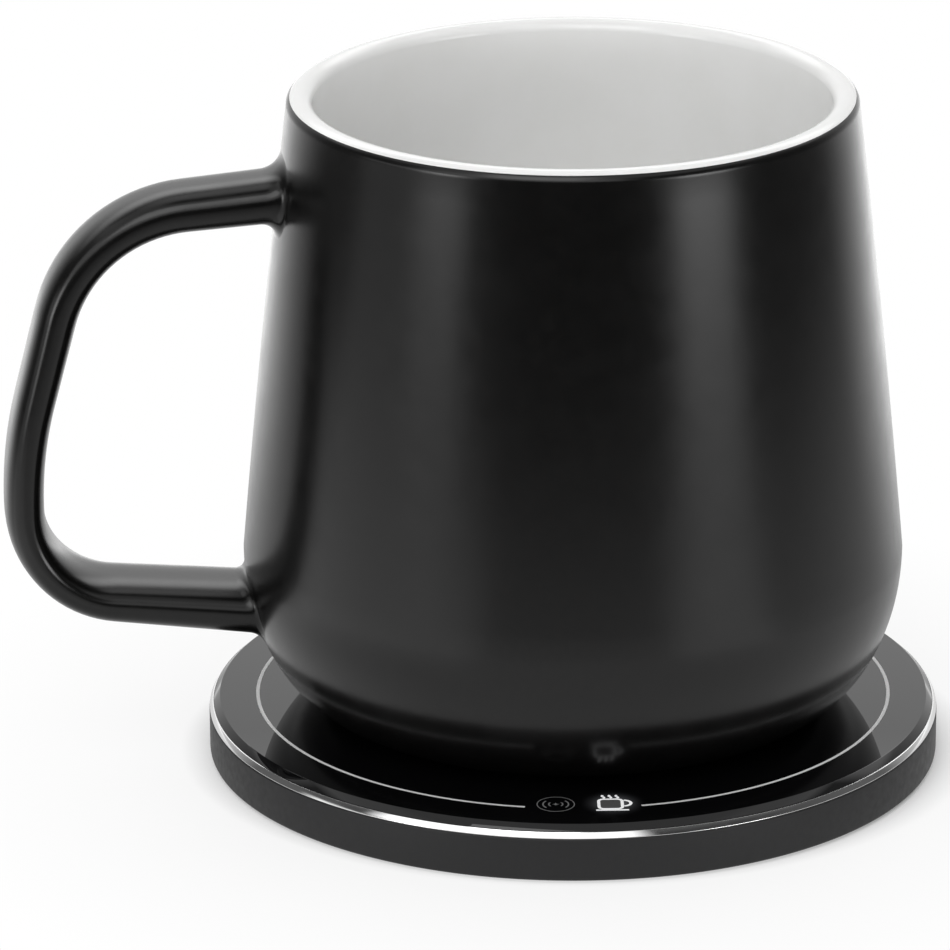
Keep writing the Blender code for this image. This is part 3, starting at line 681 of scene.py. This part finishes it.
def build_trim(material):
    """Bright ring that slopes from the side wall up to the glass."""
    top = glass_top - TRIM_DROP
    inner = base_radius - TRIM_WIDTH
    outline = [(inner, top - TRIM_HEIGHT), (base_radius, top - TRIM_HEIGHT), (inner + TRIM_LIP, top),
               (inner, top)]
    profile = ease(outline, (0, TRIM_EDGE, TRIM_EDGE / 2, 0))
    trim = make_piece("bright_trim", *revolve(profile, closed=True)[:2], [material], "warming_base",
                      "chrome_ring")
    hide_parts("chrome_ring")


def obround_prism(width, height, front, back, middle):
    """Mesh parts of a bar along Y with round sides."""
    radius = height / 2
    reach = width / 2 - radius
    outline = []
    for side, start in ((1, -90), (-1, 90)):
        for step in range(CORNER_STEPS + 1):
            angle = math.radians(start + 180 * step / CORNER_STEPS)
            outline.append((side * reach + radius * math.cos(angle), middle + radius * math.sin(angle)))
    count = len(outline)
    verts = [(x, front, z) for x, z in outline] + [(x, back, z) for x, z in outline]
    faces = [list(range(count)), list(range(2 * count - 1, count - 1, -1))]
    for index in range(count):
        after = (index + 1) % count
        faces.append((index, count + index, count + after, after))
    return verts, faces


def build_wall(material):
    """Matt side wall with eased edges and the opening for the power plug."""
    top = glass_top - TRIM_DROP - TRIM_HEIGHT - SEAM
    outline = [(base_radius - WALL_THICK, WALL_LIFT), (base_radius, WALL_LIFT), (base_radius, top),
               (base_radius - WALL_THICK, top)]
    profile = ease(outline, (0, WALL_FOOT_ROUND, WALL_TOP_ROUND, 0))
    wall = make_piece("side_wall", *revolve(profile, closed=True)[:2], [material], "warming_base",
                      "base_shell")
    verts, faces = obround_prism(
        socket_high[0] - socket_low[0] + 2 * PORT_MARGIN, socket_high[2] - socket_low[2] + 2 * PORT_MARGIN,
        base_radius - PORT_DEPTH, base_radius + PORT_DEPTH, (socket_low[2] + socket_high[2]) / 2)
    cutter_mesh = bpy.data.meshes.new("port_cutter")
    cutter_mesh.from_pydata(verts, [], faces)
    cutter = bpy.data.objects.new("port_cutter", cutter_mesh)
    bpy.context.scene.collection.objects.link(cutter)
    modifier = wall.modifiers.new("port", "BOOLEAN")
    modifier.operation = "DIFFERENCE"
    modifier.object = cutter
    bpy.context.view_layer.update()
    result = bpy.data.meshes.new_from_object(wall.evaluated_get(bpy.context.evaluated_depsgraph_get()))
    wall.modifiers.clear()
    wall.data = result
    bpy.data.objects.remove(cutter, do_unlink=True)
    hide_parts("base_shell")


def ribbon(points, width, closed=False):
    """Vertices and faces of a flat line of even width through (x, y) points."""
    count = len(points)
    verts = []
    for index, point in enumerate(points):
        before = points[index - 1] if closed or index else point
        after = points[(index + 1) % count] if closed or index < count - 1 else point
        along = (Vector(after) - Vector(before)).normalized()
        side = Vector((-along.y, along.x)) * width / 2
        verts += [Vector(point) + side, Vector(point) - side]
    faces = []
    for index in range(count if closed else count - 1):
        after = (index + 1) % count
        faces.append((2 * index, 2 * index + 1, 2 * after + 1, 2 * after))
    return verts, faces


def arc(centre, radius_x, radius_y, start, end, steps):
    points = []
    for step in range(steps + 1):
        angle = math.radians(start + (end - start) * step / steps)
        points.append((centre[0] + radius_x * math.cos(angle), centre[1] + radius_y * math.sin(angle)))
    return points


def print_marks(name, shapes, material, angle, lift=INK_LIFT):
    """Join a symbol's flat shapes, made round the origin, and lay them at its place on the glass."""
    place = Vector(symbol_place(angle))
    verts, faces = [], []
    for shape_verts, shape_faces in shapes:
        start = len(verts)
        for spot in shape_verts:
            placed = Vector(spot[:2]) + place
            verts.append((placed.x, placed.y, glass_top + lift))
        faces += [[start + index for index in face] for face in shape_faces]
    make_piece(name, verts, faces, [material], "warming_base", "glass_top")


def build_circle(material):
    """The printed circle that shows where the mug stands, open at the front."""
    start, end = -90 + CIRCLE_GAP_ANGLE, 270 - CIRCLE_GAP_ANGLE
    points = arc((0, 0), CIRCLE_RADIUS, CIRCLE_RADIUS, start, end, RING_STEPS)
    verts, faces = ribbon(points, CIRCLE_LINE)
    verts = [(spot.x, spot.y, glass_top + INK_LIFT) for spot in verts]
    make_piece("printed_circle", verts, faces, [material], "warming_base", "glass_top")


def build_power_symbol(material):
    """Dim touch symbol: a ring with waves to both sides of a spark."""
    ring = arc((0, 0), SYMBOL_RING_RADIUS, SYMBOL_RING_RADIUS, 0, 360, SYMBOL_RING_STEPS)[:-1]
    shapes = [ribbon(ring, SYMBOL_RING_LINE, closed=True)]
    for side in (0, 180):
        for radius in WAVE_RADII:
            wave = arc((0, 0), radius, radius, side - WAVE_HALF_ANGLE, side + WAVE_HALF_ANGLE,
                       SYMBOL_ARC_STEPS)
            shapes.append(ribbon(wave, WAVE_LINE))
    spark = []
    for step in range(2 * SPARK_POINTS):
        reach = SPARK_SHORT if step % 2 else SPARK_LONG
        angle = math.pi * step / SPARK_POINTS
        spark.append((reach * math.cos(angle), reach * math.sin(angle)))
    shapes.append((spark, [list(range(len(spark)))]))
    print_marks("power_symbol", shapes, material, POWER_SYMBOL_ANGLE)


def rounded_box(width, height, radius, centre):
    corners = []
    for side_x, side_y, start in ((1, 1, 0), (-1, 1, 90), (-1, -1, 180), (1, -1, 270)):
        middle = (centre[0] + side_x * (width / 2 - radius), centre[1] + side_y * (height / 2 - radius))
        corners += arc(middle, radius, radius, start, start + 90, SYMBOL_CORNER_STEPS)
    return corners


def build_cup_symbol(lit, dim):
    """Lit symbol: a steaming cup on its saucer."""
    body = rounded_box(CUP_WIDTH, CUP_HEIGHT, CUP_CORNER, CUP_MIDDLE)
    ear = arc(EAR_MIDDLE, EAR_WIDTH, EAR_HEIGHT, -EAR_HALF_ANGLE, EAR_HALF_ANGLE, SYMBOL_ARC_STEPS)
    saucer = [(end, SAUCER_LEVEL) for end in SAUCER_ENDS]
    shapes = [ribbon(body, CUP_LINE, closed=True), ribbon(ear, CUP_LINE), ribbon(saucer, CUP_LINE)]
    for across in STEAM_PLACES:
        wisp = [(across + STEAM_WAVE * math.sin(math.tau * step / STEAM_STEPS), STEAM_START + STEAM_RISE * step)
                for step in range(STEAM_STEPS + 1)]
        shapes.append(ribbon(wisp, STEAM_LINE))
    print_marks("cup_symbol", shapes, lit, CUP_SYMBOL_ANGLE)
    print_marks("cup_symbol_window", [(body, [list(range(len(body)))])], dim, CUP_SYMBOL_ANGLE, INK_LIFT / 2)


def dress_nodes():
    """Give every node of the frame that still shows, or lies inside, its own kind of material."""
    plastic = matt_plastic("moulded_black", (0.008, 0.008, 0.0085))
    chip = matt_plastic("chip_black", (0.015, 0.015, 0.016), grain=0.1)
    silicone = fine_rubber("dark_silicone", (0.035, 0.035, 0.036))
    foam = fine_rubber("black_foam", (0.05, 0.05, 0.05))
    conductive = fine_rubber("conductive_rubber", (0.25, 0.25, 0.26))
    steel = plain_metal("drawn_steel", (0.62, 0.62, 0.64), low=0.22, high=0.34)
    aluminium = plain_metal("plain_aluminium", (0.80, 0.81, 0.82), low=0.28, high=0.42)
    copper = wound_copper()
    green = circuit_green()
    ferrite = speckled("sintered_ferrite", (0.045, 0.045, 0.05), (0.08, 0.08, 0.085),
                       roughness=0.7, scale=1500)
    ceramic = speckled("tan_ceramic", (0.50, 0.37, 0.24), (0.58, 0.45, 0.31),
                       roughness=0.5, scale=2500)
    mica = speckled("pressed_mica", (0.60, 0.56, 0.46), (0.76, 0.72, 0.62),
                    roughness=0.7, scale=700)
    film = speckled("amber_film", (0.72, 0.36, 0.04), (0.82, 0.44, 0.07),
                    roughness=0.35, scale=300)
    lamp = speckled("lamp_body", (0.86, 0.84, 0.70), (0.95, 0.93, 0.82),
                    roughness=0.3, scale=1500)
    looks = {
        plastic: ("bottom_cover", "base_cap"),
        chip: ("controller_chip", "driver_chip_1", "driver_chip_2", "rectifier_chip_1", "rectifier_chip_2",
               "usb_c_tongue"),
        silicone: ("base_pad", "seal_ring"),
        foam: ("glass_tape",),
        conductive: ("touch_contact_left", "touch_contact_right"),
        steel: ("usb_c_socket", "thermal_fuse", "cover_screw_1", "cover_screw_2", "cover_screw_3",
                "cover_screw_4"),
        aluminium: ("shield_plate", "heater_disc"),
        copper: ("transmitter_coil", "receiver_coil", "coil_lead_inner", "coil_lead_outer"),
        green: ("control_board", "receiver_board"),
        ferrite: ("ferrite_plate", "receiver_ferrite", "power_inductor"),
        ceramic: ("plate_sensor", "mug_sensor", "resonant_capacitor_1", "resonant_capacitor_2",
                  "resonant_capacitor_3", "receiver_capacitor_1", "receiver_capacitor_2"),
        mica: ("insulation_disc",),
        film: ("coil_pad",),
        lamp: ("indicator_led_left", "indicator_led_right"),
    }
    for material, names in looks.items():
        for name in names:
            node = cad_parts[name]
            for index in range(len(node.material_slots)):
                node.material_slots[index].material = material
    return plastic


def split(tree, vector):
    """A vector's X, Y and Z sockets."""
    parts = tree.nodes.new("ShaderNodeSeparateXYZ")
    tree.links.new(vector, parts.inputs["Vector"])
    return parts.outputs


def azimuth_of(tree, parts):
    """Degrees round the object. 0 is in front, and positive is to its right."""
    front = calculate(tree, "MULTIPLY", parts["Y"], -1)
    return calculate(tree, "DEGREES", calculate(tree, "ARCTAN2", parts["X"], front))


def soft_patch(tree, value, low, high, soft):
    """1 from low to high, with soft edges."""
    rise = spread(tree, value, 0, 1, low - soft, low + soft)
    return calculate(tree, "MULTIPLY", rise, spread(tree, value, 1, 0, high - soft, high + soft))


def add_patches(tree, level, azimuth, second, patches, soft=0, soft_share=0):
    """Add each patch's brightness where the azimuth and the second value lie in it."""
    for left, right, low, high, bright in patches:
        across = soft_patch(tree, azimuth, left, right, AZIMUTH_SOFT)
        along = soft_patch(tree, second, low, high, soft + soft_share * low)
        share = calculate(tree, "MULTIPLY", across, along)
        level = calculate(tree, "ADD", level, calculate(tree, "MULTIPLY", share, bright))
    return level


def back_level(tree, azimuth, bright):
    """Dim in front, a little brighter at the sides and bright behind, where the left side brightens later."""
    left = calculate(tree, "SUBTRACT", calculate(tree, "MULTIPLY", azimuth, -1), LEFT_DIM_ANGLE)
    away = calculate(tree, "MAXIMUM", azimuth, left)
    side = spread(tree, away, FRONT_LEVEL, SIDE_LEVEL, *SIDE_ANGLES)
    return calculate(tree, "ADD", side, spread(tree, away, 0, bright, *BACK_ANGLES))


def floor_material():
    """White ground. The camera sees it stay white far away, and it keeps the shadow near the base.
    In reflections it is white near the object, and further out it mirrors the studio's lit patches."""
    material = bpy.data.materials.new("white_ground")
    material.use_nodes = True
    tree = material.node_tree
    tree.nodes.clear()
    place = tree.nodes.new("ShaderNodeNewGeometry").outputs["Position"]
    distance = vector_math(tree, "LENGTH", place).outputs["Value"]
    near = add_node(tree, "ShaderNodeBsdfDiffuse", Color=FLOOR_COLOUR).outputs[0]
    white = add_node(tree, "ShaderNodeEmission", Color=(1, 1, 1, 1), Strength=1).outputs[0]
    oval = vector_math(tree, "MULTIPLY_ADD", place, (1, SHADE_OVAL, 1), (-SHADE_SHIFT, 0, 0)).outputs[0]
    shade = spread(tree, vector_math(tree, "LENGTH", oval).outputs["Value"], *SHADE_RAMP)
    share = calculate(tree, "MULTIPLY", shade, spread(tree, distance, *FLOOR_WHITE_RAMP))
    seen = mix_shaders(tree, share, near, white)
    azimuth = azimuth_of(tree, split(tree, place))
    level = back_level(tree, azimuth, GROUND_BACK_LEVEL)
    for ramp in (GROUND_START_RAMP, GROUND_FAR_RAMP):
        level = calculate(tree, "MULTIPLY", level, spread(tree, distance, *ramp))
    level = calculate(tree, "ADD", level, spread(tree, distance, *GROUND_NEAR_RAMP))
    level = add_patches(tree, level, azimuth, distance, GROUND_PATCHES, soft_share=GROUND_SOFT_SHARE)
    mirrored = add_node(tree, "ShaderNodeEmission", Color=(1, 1, 1, 1))
    tree.links.new(level, mirrored.inputs["Strength"])
    is_camera = tree.nodes.new("ShaderNodeLightPath").outputs["Is Camera Ray"]
    output = tree.nodes.new("ShaderNodeOutputMaterial")
    tree.links.new(mix_shaders(tree, is_camera, mirrored.outputs[0], seen), output.inputs["Surface"])
    return material


def build_floor():
    half = FLOOR_SIZE / 2
    mesh = bpy.data.meshes.new("ground")
    mesh.from_pydata([(-half, -half, 0), (half, -half, 0), (half, half, 0), (-half, half, 0)], [],
                     [(0, 1, 2, 3)])
    mesh.materials.append(floor_material())
    ground = bpy.data.objects.new("ground", mesh)
    bpy.context.scene.collection.objects.link(ground)


def build_world():
    """Bright behind the object, dim in front, with lit patches all round, and plain white to the camera."""
    world = bpy.data.worlds.new("studio")
    bpy.context.scene.world = world
    world.use_nodes = True
    tree = world.node_tree
    tree.nodes.clear()
    parts = split(tree, tree.nodes.new("ShaderNodeTexCoord").outputs["Generated"])
    azimuth = azimuth_of(tree, parts)
    rise = calculate(tree, "DEGREES", calculate(tree, "ARCSINE", parts["Z"]))
    level = back_level(tree, azimuth, SKY_BACK_LEVEL)
    for ramp in (SKY_LIFT_RAMP, SKY_TOP_RAMP):
        level = calculate(tree, "MULTIPLY", level, spread(tree, rise, *ramp))
    level = add_patches(tree, level, azimuth, rise, SKY_PATCHES, soft=SKY_SOFT)
    lit = add_node(tree, "ShaderNodeBackground", Color=(1, 1, 1, 1))
    tree.links.new(level, lit.inputs["Strength"])
    seen = add_node(tree, "ShaderNodeBackground", Color=(1, 1, 1, 1), Strength=1)
    is_camera = tree.nodes.new("ShaderNodeLightPath").outputs["Is Camera Ray"]
    output = tree.nodes.new("ShaderNodeOutputWorld")
    surface = mix_shaders(tree, is_camera, lit.outputs[0], seen.outputs[0])
    tree.links.new(surface, output.inputs["Surface"])


def build_lamp():
    """A soft lamp that the camera doesn't see, aimed at the mug's lower half."""
    turn, rise = math.radians(LAMP_AZIMUTH), math.radians(LAMP_ELEVATION)
    data = bpy.data.lights.new("over_softbox", "AREA")
    data.shape = "RECTANGLE"
    data.size = LAMP_WIDTH
    data.size_y = LAMP_HEIGHT
    data.energy = LAMP_LEVEL * math.pi * LAMP_WIDTH * LAMP_HEIGHT
    lamp = bpy.data.objects.new("over_softbox", data)
    aim = Vector((0, 0, LAMP_AIM_HEIGHT))
    reach = LAMP_DISTANCE * math.cos(rise)
    lamp.location = (reach * math.sin(turn), -reach * math.cos(turn), LAMP_DISTANCE * math.sin(rise) + aim.z)
    lamp.rotation_euler = (aim - lamp.location).to_track_quat("-Z", "Y").to_euler()
    lamp.visible_camera = False
    bpy.context.scene.collection.objects.link(lamp)


def build_camera():
    """The photograph's viewpoint: how far, how high, and how it is turned."""
    data = bpy.data.cameras.new("camera")
    data.sensor_width = SENSOR_WIDTH
    data.lens = CAMERA_LENS
    data.clip_start = CLIP_START
    camera = bpy.data.objects.new("camera", data)
    turn = Matrix.Rotation(math.radians(CAMERA_AZIMUTH), 4, "Z")
    camera.matrix_world = (turn @ Matrix.Translation((0, -CAMERA_DISTANCE, CAMERA_HEIGHT))
                           @ Matrix.Rotation(math.radians(90 - CAMERA_PITCH), 4, "X")
                           @ Matrix.Rotation(math.radians(CAMERA_YAW), 4, "Y"))
    bpy.context.scene.collection.objects.link(camera)
    bpy.context.scene.camera = camera


def main():
    bpy.context.scene.view_settings.view_transform = "Standard"
    build_camera()
    build_world()
    build_floor()
    build_lamp()
    plastic = dress_nodes()
    build_mug([black_glaze(), white_glaze(), bare_clay()])
    build_glass(black_glass())
    build_trim(chrome())
    build_wall(plastic)
    build_circle(ink("white_ink", (0.93, 0.93, 0.93)))
    build_power_symbol(ink("dim_ink", (0.24, 0.24, 0.24)))
    build_cup_symbol(lit_ink("lit_ink", (0.8, 0.8, 0.8), glow=0.44),
                     ink("window_ink", (0.12, 0.12, 0.12)))


main()
